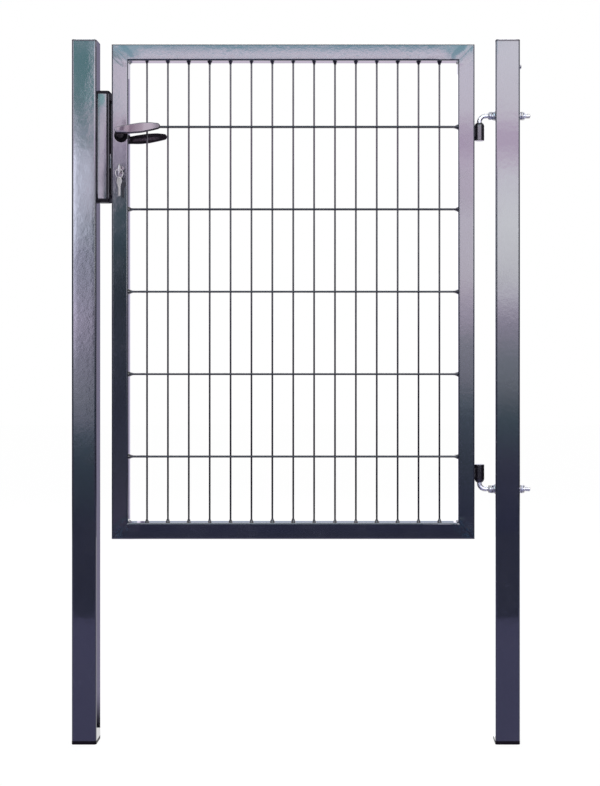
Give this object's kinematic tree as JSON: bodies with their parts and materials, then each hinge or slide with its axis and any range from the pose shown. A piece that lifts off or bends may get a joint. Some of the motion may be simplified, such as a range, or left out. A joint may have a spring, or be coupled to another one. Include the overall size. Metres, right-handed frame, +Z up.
{
  "type": "mesh garden gate",
  "caption": "Single-leaf steel garden gate with welded mesh infill, its two square posts, rod hinges, lever lock with key cylinder and keep.",
  "frame": {"origin": "centre of the hinge post's foot face", "axes": "+X from the lock post towards the hinge post, +Y from the outer side of the gate to its inner side, +Z up"},
  "size_m": [1.1115, 0.139, 1.71],
  "materials": {
    "coated_steel": "gloss anthracite powder coat",
    "black_plastic": "moulded black plastic",
    "black_steel": "black coated steel",
    "coated_aluminium": "gloss anthracite powder coat on aluminium",
    "zinc_steel": "bright zinc plated",
    "bright_steel": "stainless",
    "nickel": "nickel plated"
  },
  "bodies": {
    "posts": {"lock_post": "coated_steel", "hinge_post": "coated_steel", "lock_post_cap": "black_plastic", "hinge_post_cap": "black_plastic", "lock_post_foot": "black_plastic", "hinge_post_foot": "black_plastic", "keep_base": "black_steel", "keep_front_rail": "black_steel", "keep_stop": "black_plastic", "keep_cover_strip": "coated_aluminium", "keep_top_cap": "black_plastic", "keep_bottom_cap": "black_plastic", "top_hinge_rod": "zinc_steel", "bottom_hinge_rod": "zinc_steel", "hinge_nuts": "zinc_steel", "hinge_washers": "zinc_steel", "fence_screw": "zinc_steel"},
    "leaf": {"lock_stile": "coated_steel", "hinge_stile": "coated_steel", "top_rail": "coated_steel", "bottom_rail": "coated_steel", "mesh_panel": "coated_steel", "top_hinge_barrel": "black_steel", "bottom_hinge_barrel": "black_steel", "lock_case": "black_steel", "key_cylinder": "nickel", "front_rose": "black_steel", "back_rose": "black_steel", "key": "nickel", "key_ring": "nickel", "spare_key": "nickel"},
    "handle": {"front_lever": "coated_aluminium", "back_lever": "coated_aluminium", "spindle": "bright_steel"},
    "latch": {"latch_bolt": "bright_steel"}
  },
  "joints": [
    {"name": "gate_swing", "type": "hinge", "parent": "posts", "child": "leaf", "pos_m": [-0.066, 0, 1], "axis": [0, 0, 1], "range_deg": [0, 90]},
    {"name": "handle_turn", "type": "hinge", "parent": "leaf", "child": "handle", "pos_m": [-0.936, 0, 1.473], "axis": [0, 1, 0], "range_deg": [0, 35], "stiffness_Nm_per_rad": 1.2, "springref_deg": -20.05},
    {"name": "latch_slide", "type": "slide", "parent": "leaf", "child": "latch", "axis": [1, 0, 0], "range_m": [0, 0.0095]}
  ],
  "couplings": [
    {"joint": "latch_slide", "follows": "handle_turn", "m_per_rad": 0.0155}
  ]
}
